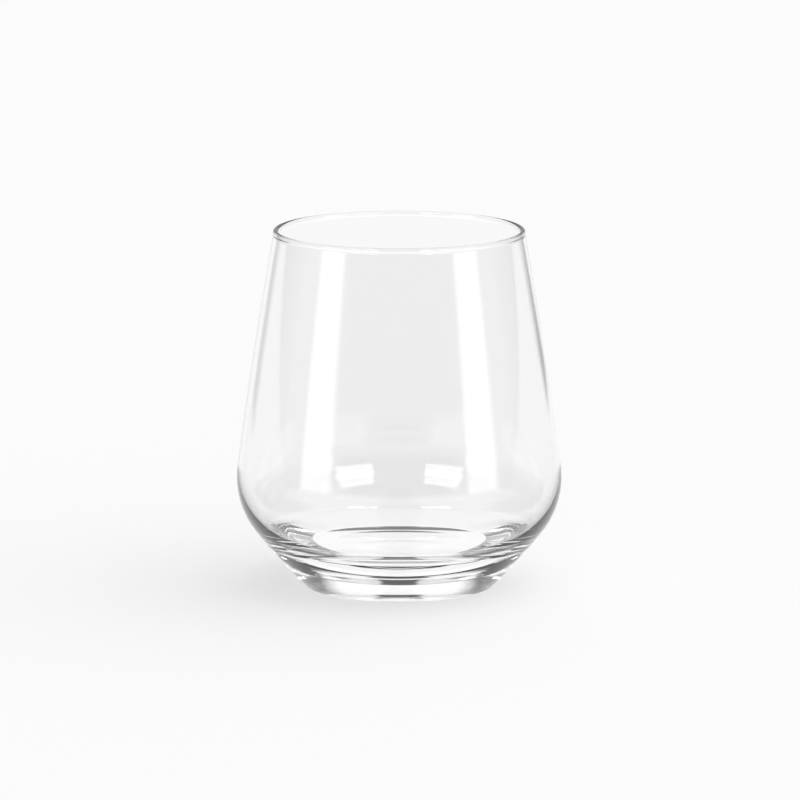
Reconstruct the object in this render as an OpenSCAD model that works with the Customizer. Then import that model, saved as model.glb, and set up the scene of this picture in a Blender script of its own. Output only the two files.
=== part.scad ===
// Stemless wine glass: one piece of clear glass, turned about its upright axis.
// A thin tapered wall with a fire-polished lip leans in from a low, wide belly. The flank
// under the belly runs in to a thick base, which has a dished floor above and a foot ring
// round a shallow punt below. Both faces of the glass are chains of arcs that meet
// tangent to tangent, so every size can change and the outline stays smooth.
// Millimetres. The origin is the centre of the foot ring on the table, and +Z is up.

/* [Bowl] */
// Height from the table to the top of the lip
glass_h = 102.8; // [98:0.1:112]
// Outside diameter over the lip
rim_d = 72; // [66:0.5:80]
// Outside diameter at the widest place
belly_d = 93; // [89:0.5:100]
// Height of the widest place above the table
belly_h = 31.2; // [28:0.1:36]
// Radius of the turn from the wall into the flank, on the outside
belly_round = 24.1; // [20:0.1:28]
// Radius of the slight bow of the wall between belly and lip
wall_round = 1600; // [900:50:3000]
// Radius of the bow of the flank between belly and heel
flank_round = 160; // [100:2:300]

/* [Glass thickness] */
// Thickness of the wall just under the lip
wall_t = 1.25; // [1:0.05:1.6]
// How much thicker than that wall the rounded lip is
lip_bead = 0.35; // [0.1:0.05:0.8]
// Thickness of the wall where the upper turn of the inside is widest
belly_t = 1.35; // [1.2:0.05:2.4]
// Radius of the hollow that blends the lip into the wall
neck_round = 3; // [1.5:0.5:5]

/* [Base] */
// Thickness of the base from the table to the middle of the floor
floor_h = 10; // [8:0.1:13]
// How much the middle of the floor lies under the lowest point of the lower turn
floor_dip = 3.2; // [1:0.1:4]
// How much higher the widest place of the inside is than that of the outside
bowl_rise = 0.7; // [0:0.1:3]
// Radius of the lower turn of the inside, on to the floor
low_round = 9.7; // [5:0.1:16]
// Direction below the level in which the upper turn gives way to the lower one, in degrees
turn_angle = 54; // [35:1:70]

/* [Foot] */
// Diameter at which the heel lands on the table
foot_d = 53; // [49:0.5:58]
// Radius of the heel between the flank and the foot ring
heel_round = 1.3; // [0.8:0.1:5]
// Width of the flat that the glass stands on
ring_w = 6; // [1:0.5:9]
// Radius of the inner edge of the foot ring
ring_round = 1; // [0.4:0.1:3]
// Height of the punt under the middle of the base
punt_h = 0.8; // [0.4:0.1:3]

/* [Hidden] */

// Greatest distance between an arc and the chords that stand for it
arc_tolerance = 0.004;
// Sides of the turned surface
$fn = 180;

// Thickness over the rounded lip
lip_t = wall_t + lip_bead;

// Places in the half plane are [distance from the axis, height].
lip_c = [rim_d / 2 - lip_t / 2, glass_h - lip_t / 2];
belly_c = [belly_d / 2 - belly_round, belly_h];
heel_c = [foot_d / 2, heel_round];

// Inside: the two turns, of which the upper one hands over to the lower one at turn_angle
bowl_h = belly_h + bowl_rise;
low_h = floor_h + floor_dip + low_round;
round_step = (bowl_h - low_h) / sin(turn_angle);
bowl_round = low_round + round_step;
bowl_c = [belly_d / 2 - belly_t - bowl_round, bowl_h];
low_c = [bowl_c[0] + round_step * cos(turn_angle), low_h];

// Outside: centres of the flank, of the wall and of the hollow under the lip
flank_c = meet(belly_c, flank_round - belly_round, heel_c, flank_round - heel_round, -1);
wall_c = meet(belly_c, wall_round - belly_round, lip_c, wall_round - wall_t / 2, 1);
neck_c = meet(lip_c, neck_round + lip_t / 2, wall_c, wall_round + neck_round, 1);

// Inside: centres of the wall and of the hollow under the lip
bowl_wall_c = meet(bowl_c, wall_round - bowl_round, lip_c, wall_round + wall_t / 2, 1);
bowl_neck_c = meet(lip_c, neck_round + lip_t / 2, bowl_wall_c, wall_round - neck_round, 1);

// The floor is a cap of a large ball that touches the lower turn.
dish_round = (pow(norm(low_c - [0, floor_h]), 2) - pow(low_round, 2)) / (2 * floor_dip);
dish_c = [0, floor_h + dish_round];

// The punt is a cap of a large ball too, and the ring's inner edge touches it.
ring_c = [foot_d / 2 - ring_w, ring_round];
punt_round = (pow(ring_c[0], 2) + pow(ring_round - punt_h, 2) - pow(ring_round, 2)) / (2 * punt_h);
punt_c = [0, punt_h - punt_round];

// The place that lies a from p and b from q, on the left (side 1) or right (side -1) of the way
// from p to q
function meet(p, a, q, b, side) =
    let (
        gap = norm(q - p),
        along = (q - p) / gap,
        run = (pow(gap, 2) + pow(a, 2) - pow(b, 2)) / (2 * gap),
        off = sqrt(pow(a, 2) - pow(run, 2))
    )
    p + run * along + side * off * [-along[1], along[0]];

// Direction from p to q in degrees
function heading(p, q) = atan2(q[1] - p[1], q[0] - p[0]);

// Points of the arc about c from one direction to another, the short way round
function arc(c, r, from, to) =
    let (
        turn = (to - from + 540) % 360 - 180,
        steps = max(2, ceil(abs(turn) / (2 * acos(1 - arc_tolerance / r))))
    )
    [for (i = [0 : steps]) c + r * [cos(from + turn * i / steps), sin(from + turn * i / steps)]];

// Underside, from the axis out to the flat of the foot ring
function under_face() = concat(
    arc(punt_c, punt_round, 90, heading(punt_c, ring_c)),
    arc(ring_c, ring_round, heading(ring_c, punt_c), -90)
);

// Outside, from the heel up to the top of the lip
function outer_face() = concat(
    arc(heel_c, heel_round, -90, heading(flank_c, heel_c)),
    arc(flank_c, flank_round, heading(flank_c, heel_c), heading(flank_c, belly_c)),
    arc(belly_c, belly_round, heading(flank_c, belly_c), heading(wall_c, belly_c)),
    arc(wall_c, wall_round, heading(wall_c, belly_c), heading(wall_c, neck_c)),
    arc(neck_c, neck_round, heading(neck_c, wall_c), heading(neck_c, lip_c)),
    arc(lip_c, lip_t / 2, heading(lip_c, neck_c), 90)
);

// Inside, from the top of the lip down to the middle of the floor
function inner_face() = concat(
    arc(lip_c, lip_t / 2, 90, heading(lip_c, bowl_neck_c)),
    arc(bowl_neck_c, neck_round, heading(bowl_neck_c, lip_c), heading(bowl_wall_c, bowl_neck_c)),
    arc(bowl_wall_c, wall_round, heading(bowl_wall_c, bowl_neck_c), heading(bowl_wall_c, bowl_c)),
    arc(bowl_c, bowl_round, heading(bowl_wall_c, bowl_c), -turn_angle),
    arc(low_c, low_round, -turn_angle, heading(dish_c, low_c)),
    arc(dish_c, dish_round, heading(dish_c, low_c), -90)
);

// The whole glass
module stemless_glass() {
    color("azure", 0.35)
        rotate_extrude()
            polygon(concat(under_face(), outer_face(), inner_face()));
}

stemless_glass();
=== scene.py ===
# A clear stemless wine glass that stands on a white table, in soft studio light.
import math
import bpy
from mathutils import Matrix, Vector


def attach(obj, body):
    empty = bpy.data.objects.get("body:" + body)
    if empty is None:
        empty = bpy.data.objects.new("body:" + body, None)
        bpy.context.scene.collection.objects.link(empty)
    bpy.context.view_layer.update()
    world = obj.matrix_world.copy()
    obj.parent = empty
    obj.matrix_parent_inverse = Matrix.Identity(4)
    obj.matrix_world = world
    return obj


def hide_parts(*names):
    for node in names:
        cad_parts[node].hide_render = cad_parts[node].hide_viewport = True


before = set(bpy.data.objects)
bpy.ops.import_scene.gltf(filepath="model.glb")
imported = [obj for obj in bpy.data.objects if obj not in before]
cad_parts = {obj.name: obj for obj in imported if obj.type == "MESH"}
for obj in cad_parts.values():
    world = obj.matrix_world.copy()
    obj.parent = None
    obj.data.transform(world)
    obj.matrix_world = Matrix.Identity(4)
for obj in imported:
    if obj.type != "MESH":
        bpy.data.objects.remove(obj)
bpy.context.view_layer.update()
scene = bpy.context.scene
scene.view_settings.view_transform = "Standard"

MM = 0.001
DEGREES = 180 / math.pi

# How often light may turn back inside the glass before it is lost. The thick rim of the base
# needs more than the usual number, and with many more its dark lines grow pale.
BOUNCES = 9
scene.cycles.max_bounces = BOUNCES
scene.cycles.glossy_bounces = BOUNCES
scene.cycles.transmission_bounces = BOUNCES

# Sizes of the glass in millimetres, and one angle in degrees, as in the part's source
SIZE = dict(
    glass_h=102.8, rim_d=72.0, belly_d=93.0, belly_h=31.2, belly_round=24.1,
    wall_round=1600.0, flank_round=160.0,
    wall_t=1.25, lip_bead=0.35, belly_t=1.35, neck_round=3.0,
    floor_h=10.0, floor_dip=3.2, bowl_rise=0.7, low_round=9.7, turn_angle=54.0,
    foot_d=53.0, heel_round=1.3, ring_w=6.0, ring_round=1.0, punt_h=0.8,
)

# Fineness of the mesh: sides round the axis, the greatest distance between an arc and its
# chords in millimetres, the greatest turn from one chord to the next, and the least number of
# chords in an arc. Points of the section nearer than SAME, in millimetres, are one point.
SIDES = 240
CHORD = 0.0006
TURN = math.radians(3.0)
FEWEST = 3
SAME = 1e-5

# What the glass is made of: a ripple in its surface of about 20 mm, drawn out upwards, and a
# faint tint in its depth. Lengths are in metres.
GLASS = dict(
    colour=(0.97, 0.97, 0.97, 1.0), roughness=0.0, ior=1.5,
    ripple_scale=45.0, ripple_stretch=(1.0, 1.0, 0.5), ripple_strength=0.02, ripple_height=0.0005,
    tint=(0.9, 0.97, 0.95, 1.0), tint_density=1.0,
)

# A strength of 1 is white. "Aside" is an angle in degrees round the glass, counted from the
# camera's side to the left and to the right alike: 0 is straight in front, 180 straight behind.
WHITE = 0.97

# The table, in metres. It lies a hair under the glass. Glow is the share of plain white in what
# the camera sees of it, so that the shadow of the glass stays pale. Seen only in the glass, it has
# a painted pool of light under the base, for the light that the base gathers, and painted shade on
# a grey patch far behind on each side, which draws the edges of the wall.
TABLE = dict(
    half=400.0, drop=0.00005, colour=(0.94, 0.94, 0.94, 1.0), roughness=0.8, glow=0.6,
    under=1.05, under_r=0.028, under_soft=0.002,
    painted_shade=0.48, painted_shade_shift=0.08, painted_shade_r=0.525, painted_shade_r_soft=0.075,
    painted_shade_from=139.0, painted_shade_from_soft=3.0, painted_shade_to=151.0, painted_shade_to_soft=2.0,
)

# What shows through the glass, by how far aside and how high it is: dim in front, white behind,
# a dark flag on each side, and white overhead but for a dark gap down the middle, whose half
# width is a share of the whole sky
SKY = dict(
    front=0.12, side=0.4, side_from=45.0, side_soft=5.0,
    behind=1.06, behind_from=155.0, behind_soft=5.0,
    flag=0.02, flag_from=96.0, flag_to=150.0, flag_soft=3.0,
    high=0.9, high_from=46.0, high_soft=6.0,
    gap=0.05, gap_half=0.14, gap_half_soft=0.03, gap_from=30.0, gap_soft=4.0,
)

# What the glass mirrors besides the lamps: dim in front and overhead
MIRROR = dict(
    front=0.1, side=0.65, side_from=60.0, side_soft=15.0,
    high=0.2, high_from=47.5, high_soft=7.5,
)

# The lamps, one of each kind on either side: two tall strips, and two small ones higher up
LAMPS = (
    dict(strength=1.9, at=62.5, half=12.0, soft=3.0, low=-2.0, low_soft=1.0, high=14.0),
    dict(strength=6.0, at=36.0, half=15.0, soft=1.0, low=18.0, low_soft=1.0, high=37.0),
)

# What lights the table, straight or through the glass: more from the right and from overhead.
# The scale makes its mean about white.
SPREAD = dict(
    left=0.05, right=2.2, across_soft=0.9,
    level=0.6, overhead=1.1, height_mid=45.0, height_soft=30.0,
    scale=1.073,
)

# The camera stands about 2.05 m from the glass and looks down at it by about 10 degrees.
CAMERA = dict(
    sensor=36.0, lens=322.5, clip_end=2000.0,
    place=(0.0, -2.016, 0.4153), aim=(0.00023, 0.0, 0.0534),
)


def meet(p, a, q, b, side):
    """The place a from p and b from q, on the left (1) or right (-1) of the way from p to q."""
    gap = (q - p).length
    along = (q - p) / gap
    run = (gap * gap + a * a - b * b) / (2 * gap)
    return p + run * along + side * math.sqrt(a * a - run * run) * Vector((-along.y, along.x))


def heading(p, q):
    """The direction from p to q."""
    return math.atan2(q.y - p.y, q.x - p.x)


def arc(c, r, start, end, out):
    """Points of an arc with their surface directions, out 1 for a bulge and -1 for a hollow."""
    turn = (end - start + 3 * math.pi) % (2 * math.pi) - math.pi
    steps = max(FEWEST, math.ceil(abs(turn) / min(TURN, 2 * math.acos(1 - CHORD / r))))
    angles = [start + turn * i / steps for i in range(steps + 1)]
    ways = [Vector((math.cos(angle), math.sin(angle))) for angle in angles]
    return [(c + r * way, out * way) for way in ways]


def section(s):
    """The cut through one half of the glass, as [distance from the axis, height] and direction.

    It runs from the axis under the base, round the outside and the lip, to the floor."""
    up = math.pi / 2
    wall, neck, lip_r = s["wall_round"], s["neck_round"], (s["wall_t"] + s["lip_bead"]) / 2
    belly, flank = s["belly_round"], s["flank_round"]
    heel, ring = s["heel_round"], s["ring_round"]
    # the two turns of the inside, of which the upper one hands over to the lower one at angle
    low, angle = s["low_round"], math.radians(s["turn_angle"])
    turn_h, low_h = s["belly_h"] + s["bowl_rise"], s["floor_h"] + s["floor_dip"] + low
    turn = low + (turn_h - low_h) / math.sin(angle)
    turn_c = Vector((s["belly_d"] / 2 - s["belly_t"] - turn, turn_h))
    low_c = Vector((turn_c.x + (turn - low) * math.cos(angle), low_h))
    # the outside
    lip_c = Vector((s["rim_d"] / 2 - lip_r, s["glass_h"] - lip_r))
    belly_c = Vector((s["belly_d"] / 2 - belly, s["belly_h"]))
    heel_c = Vector((s["foot_d"] / 2, heel))
    flank_c = meet(belly_c, flank - belly, heel_c, flank - heel, -1)
    wall_c = meet(belly_c, wall - belly, lip_c, wall - s["wall_t"] / 2, 1)
    neck_c = meet(lip_c, neck + lip_r, wall_c, wall + neck, 1)
    # the wall inside, and the hollow under the lip there
    in_wall_c = meet(turn_c, wall - turn, lip_c, wall + s["wall_t"] / 2, 1)
    in_neck_c = meet(lip_c, neck + lip_r, in_wall_c, wall - neck, 1)
    # the floor and the punt are caps of large balls
    dish = ((low_c - Vector((0, s["floor_h"]))).length ** 2 - low ** 2) / (2 * s["floor_dip"])
    dish_c = Vector((0, s["floor_h"] + dish))
    ring_c = Vector((s["foot_d"] / 2 - s["ring_w"], ring))
    punt = (ring_c.x ** 2 + (ring - s["punt_h"]) ** 2 - ring ** 2) / (2 * s["punt_h"])
    punt_c = Vector((0, s["punt_h"] - punt))
    chain = [
        arc(punt_c, punt, up, heading(punt_c, ring_c), -1),
        arc(ring_c, ring, heading(ring_c, punt_c), -up, 1),
        arc(heel_c, heel, -up, heading(flank_c, heel_c), 1),
        arc(flank_c, flank, heading(flank_c, heel_c), heading(flank_c, belly_c), 1),
        arc(belly_c, belly, heading(flank_c, belly_c), heading(wall_c, belly_c), 1),
        arc(wall_c, wall, heading(wall_c, belly_c), heading(wall_c, neck_c), 1),
        arc(neck_c, neck, heading(neck_c, wall_c), heading(neck_c, lip_c), -1),
        arc(lip_c, lip_r, heading(lip_c, neck_c), up, 1),
        arc(lip_c, lip_r, up, heading(lip_c, in_neck_c), 1),
        arc(in_neck_c, neck, heading(in_neck_c, lip_c), heading(in_wall_c, in_neck_c), -1),
        arc(in_wall_c, wall, heading(in_wall_c, in_neck_c), heading(in_wall_c, turn_c), -1),
        arc(turn_c, turn, heading(in_wall_c, turn_c), -angle, -1),
        arc(low_c, low, -angle, heading(dish_c, low_c), -1),
        arc(dish_c, dish, heading(dish_c, low_c), -up, -1),
    ]
    line = []
    for piece in chain:
        for place, way in piece:
            if not line or (place - line[-1][0]).length > SAME:
                line.append((place, way))
    return line


def turned(name, line, sides):
    """A closed mesh turned about Z, with the exact surface directions as its normals."""
    on_axis = 1e-4
    verts, normals, rings, faces = [], [], [], []
    for place, way in line:
        if place.x < on_axis:
            rings.append([len(verts)])
            verts.append((0.0, 0.0, place.y * MM))
            normals.append((0.0, 0.0, 1.0 if way.y > 0 else -1.0))
            continue
        rings.append(range(len(verts), len(verts) + sides))
        for k in range(sides):
            c, s = math.cos(2 * math.pi * k / sides), math.sin(2 * math.pi * k / sides)
            verts.append((place.x * c * MM, place.x * s * MM, place.y * MM))
            normals.append((way.x * c, way.x * s, way.y))
    for a, b in zip(rings, rings[1:]):
        for k in range(sides):
            j = (k + 1) % sides
            if len(a) == 1:
                faces.append((a[0], b[j], b[k]))
            elif len(b) == 1:
                faces.append((a[k], a[j], b[0]))
            else:
                faces.append((a[k], a[j], b[j], b[k]))
    mesh = bpy.data.meshes.new(name)
    mesh.from_pydata(verts, [], faces)
    mesh.validate()
    mesh.polygons.foreach_set("use_smooth", [True] * len(mesh.polygons))
    mesh.normals_split_custom_set_from_vertices(normals)
    mesh.update()
    piece = bpy.data.objects.new(name, mesh)
    scene.collection.objects.link(piece)
    return piece


def empty_material(name):
    """A material, its nodes' tree and its output node."""
    material = bpy.data.materials.new(name)
    material.use_nodes = True
    tree = material.node_tree
    tree.nodes.clear()
    return material, tree, tree.nodes.new("ShaderNodeOutputMaterial")


def clear_glass(g):
    """Clear soda-lime glass with the faint ripple that a machine-made wall has."""
    material, tree, output = empty_material("clear_glass")
    new, link = tree.nodes.new, tree.links.new
    shader = new("ShaderNodeBsdfPrincipled")
    shader.inputs["Base Color"].default_value = g["colour"]
    shader.inputs["Roughness"].default_value = g["roughness"]
    shader.inputs["IOR"].default_value = g["ior"]
    shader.inputs["Transmission Weight"].default_value = 1.0
    place = new("ShaderNodeTexCoord")
    stretch = new("ShaderNodeMapping")
    stretch.inputs["Scale"].default_value = g["ripple_stretch"]
    ripple = new("ShaderNodeTexNoise")
    ripple.inputs["Scale"].default_value = g["ripple_scale"]
    ripple.inputs["Detail"].default_value = 0.0
    bump = new("ShaderNodeBump")
    bump.inputs["Strength"].default_value = g["ripple_strength"]
    bump.inputs["Distance"].default_value = g["ripple_height"]
    link(place.outputs["Object"], stretch.inputs["Vector"])
    link(stretch.outputs["Vector"], ripple.inputs["Vector"])
    link(ripple.outputs["Fac"], bump.inputs["Height"])
    link(bump.outputs["Normal"], shader.inputs["Normal"])
    link(shader.outputs["BSDF"], output.inputs["Surface"])
    volume = new("ShaderNodeVolumeAbsorption")
    volume.inputs["Color"].default_value = g["tint"]
    volume.inputs["Density"].default_value = g["tint_density"]
    link(volume.outputs["Volume"], output.inputs["Volume"])
    return material


class Maths:
    """Short calls for the nodes that reckon the light, on numbers or on sockets."""

    def __init__(self, tree):
        self.tree = tree

    def put(self, slot, value):
        if isinstance(value, (int, float)):
            slot.default_value = value
        else:
            self.tree.links.new(value, slot)

    def calc(self, kind, *values):
        node = self.tree.nodes.new("ShaderNodeMath")
        node.operation = kind
        for slot, value in zip(node.inputs, values):
            self.put(slot, value)
        return node.outputs[0]

    def times(self, a, *more):
        for b in more:
            a = self.calc("MULTIPLY", a, b)
        return a

    def plus(self, a, b):
        return self.calc("ADD", a, b)

    def rise(self, value, middle, soft):
        """Runs smoothly from 0 to 1 while the value passes the middle, soft on either side."""
        node = self.tree.nodes.new("ShaderNodeMapRange")
        node.interpolation_type = "SMOOTHSTEP"
        self.put(node.inputs["Value"], value)
        self.put(node.inputs["From Min"], middle - soft)
        self.put(node.inputs["From Max"], middle + soft)
        return node.outputs[0]

    def fall(self, value, middle, soft):
        return self.calc("SUBTRACT", 1.0, self.rise(value, middle, soft))

    def choose(self, switch, off, on):
        """The value off where the switch is 0, and on where it is 1."""
        node = self.tree.nodes.new("ShaderNodeMix")
        node.data_type = "FLOAT"
        factor, first, second = node.inputs[0], node.inputs[2], node.inputs[3]
        self.put(factor, switch)
        self.put(first, off)
        self.put(second, on)
        return node.outputs[0]

    def axes(self, coordinates):
        """X, Y and Z of the place or the direction."""
        place = self.tree.nodes.new("ShaderNodeTexCoord")
        split = self.tree.nodes.new("ShaderNodeSeparateXYZ")
        self.tree.links.new(place.outputs[coordinates], split.inputs[0])
        return split.outputs

    def far(self, x, y):
        return self.calc("SQRT", self.plus(self.times(x, x), self.times(y, y)))

    def aside(self, x, y):
        """Degrees from the camera's side, the same to the left and to the right."""
        turn = self.calc("ARCTAN2", self.calc("ABSOLUTE", x), self.times(y, -1.0))
        return self.times(turn, DEGREES)


def table(t):
    """A large white table top. It meets the white of the world far behind the glass."""
    half = t["half"]
    corners = [(-half, -half, 0), (half, -half, 0), (half, half, 0), (-half, half, 0)]
    mesh = bpy.data.meshes.new("table_top")
    mesh.from_pydata(corners, [], [(0, 1, 2, 3)])
    top = bpy.data.objects.new("table_top", mesh)
    scene.collection.objects.link(top)
    top.location.z = -t["drop"]
    material, tree, output = empty_material("table_white")
    new, link = tree.nodes.new, tree.links.new
    m = Maths(tree)
    shader = new("ShaderNodeBsdfPrincipled")
    shader.inputs["Base Color"].default_value = t["colour"]
    shader.inputs["Roughness"].default_value = t["roughness"]
    shader.inputs["Specular IOR Level"].default_value = 0.0

    kinds = new("ShaderNodeLightPath").outputs
    in_glass = m.calc("MAXIMUM", kinds["Is Glossy Ray"], kinds["Is Transmission Ray"])
    x, y, _ = m.axes("Object")
    # Painted light: seen in the glass, the table is brighter under the base, as a pool of light.
    beyond_base = m.rise(m.far(x, y), t["under_r"], t["under_soft"])
    white = m.choose(beyond_base, t["under"], WHITE)
    # Painted shade: seen in the glass, a grey patch far behind on each side darkens the table.
    x = m.plus(x, t["painted_shade_shift"])
    aside = m.aside(x, y)
    on_painted_shade = m.times(
        m.rise(m.far(x, y), t["painted_shade_r"], t["painted_shade_r_soft"]),
        m.rise(aside, t["painted_shade_from"], t["painted_shade_from_soft"]),
        m.fall(aside, t["painted_shade_to"], t["painted_shade_to_soft"]),
    )
    seen_in_glass = m.choose(on_painted_shade, white, t["painted_shade"])
    glow = new("ShaderNodeEmission")
    link(m.choose(kinds["Is Camera Ray"], seen_in_glass, WHITE), glow.inputs["Color"])
    share = m.calc("MULTIPLY_ADD", kinds["Is Camera Ray"], t["glow"], in_glass)
    mixed = new("ShaderNodeMixShader")
    link(share, mixed.inputs[0])
    link(shader.outputs["BSDF"], mixed.inputs[1])
    link(glow.outputs[0], mixed.inputs[2])
    link(mixed.outputs[0], output.inputs["Surface"])
    mesh.materials.append(material)


def studio():
    """The light, all of which comes from the world, by the kind of ray that meets it."""
    world = bpy.data.worlds.new("studio")
    scene.world = world
    world.use_nodes = True
    tree = world.node_tree
    tree.nodes.clear()
    m = Maths(tree)
    x, y, z = m.axes("Generated")
    height = m.times(m.calc("ARCSINE", z), DEGREES)
    aside = m.aside(x, y)

    def lamp(lm):
        off = m.calc("ABSOLUTE", m.calc("SUBTRACT", aside, lm["at"]))
        return m.times(
            m.fall(off, lm["half"], lm["soft"]), lm["strength"],
            m.rise(height, lm["low"], lm["low_soft"]), m.fall(height, lm["high"], lm["soft"]),
        )

    lamps = m.plus(*map(lamp, LAMPS))

    s = SKY
    sky = m.choose(m.rise(aside, s["side_from"], s["side_soft"]), s["front"], s["side"])
    sky = m.choose(m.rise(aside, s["behind_from"], s["behind_soft"]), sky, s["behind"])
    flag = m.times(
        m.rise(aside, s["flag_from"], s["flag_soft"]), m.fall(aside, s["flag_to"], s["flag_soft"]))
    sky = m.choose(flag, sky, s["flag"])
    sky = m.choose(m.rise(height, s["high_from"], s["high_soft"]), sky, s["high"])
    gap = m.times(
        m.fall(m.calc("ABSOLUTE", x), s["gap_half"], s["gap_half_soft"]),
        m.rise(height, s["gap_from"], s["gap_soft"]))
    through = m.plus(m.choose(gap, sky, s["gap"]), lamps)

    r = MIRROR
    mirrored = m.times(
        m.choose(m.rise(aside, r["side_from"], r["side_soft"]), r["front"], r["side"]),
        m.choose(m.rise(height, r["high_from"], r["high_soft"]), 1.0, r["high"]))
    mirrored = m.plus(mirrored, lamps)

    p = SPREAD
    spread = m.times(
        m.choose(m.rise(x, 0.0, p["across_soft"]), p["left"], p["right"]),
        m.choose(m.rise(height, p["height_mid"], p["height_soft"]), p["level"], p["overhead"]),
        p["scale"])

    kinds = tree.nodes.new("ShaderNodeLightPath").outputs
    from_table = m.calc("GREATER_THAN", kinds["Diffuse Depth"], 0.5)
    colour = m.choose(kinds["Is Glossy Ray"], spread, mirrored)
    colour = m.choose(kinds["Is Transmission Ray"], colour, through)
    colour = m.choose(from_table, colour, spread)
    colour = m.choose(kinds["Is Camera Ray"], colour, WHITE)
    light = tree.nodes.new("ShaderNodeBackground")
    output = tree.nodes.new("ShaderNodeOutputWorld")
    tree.links.new(colour, light.inputs["Color"])
    tree.links.new(light.outputs[0], output.inputs["Surface"])


def photograph(c):
    """The camera, where the photograph's stood."""
    lens = bpy.data.cameras.new("camera")
    lens.sensor_width = c["sensor"]
    lens.lens = c["lens"]
    lens.clip_end = c["clip_end"]
    camera = bpy.data.objects.new("camera", lens)
    scene.collection.objects.link(camera)
    camera.location = c["place"]
    look = Vector(c["aim"]) - camera.location
    camera.rotation_euler = look.to_track_quat("-Z", "Y").to_euler()
    scene.camera = camera


glass = turned("glass_body", section(SIZE), SIDES)
glass.data.materials.append(clear_glass(GLASS))
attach(glass, "root")
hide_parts("stemless_glass")
table(TABLE)
studio()
photograph(CAMERA)

bpy.context.view_layer.update()
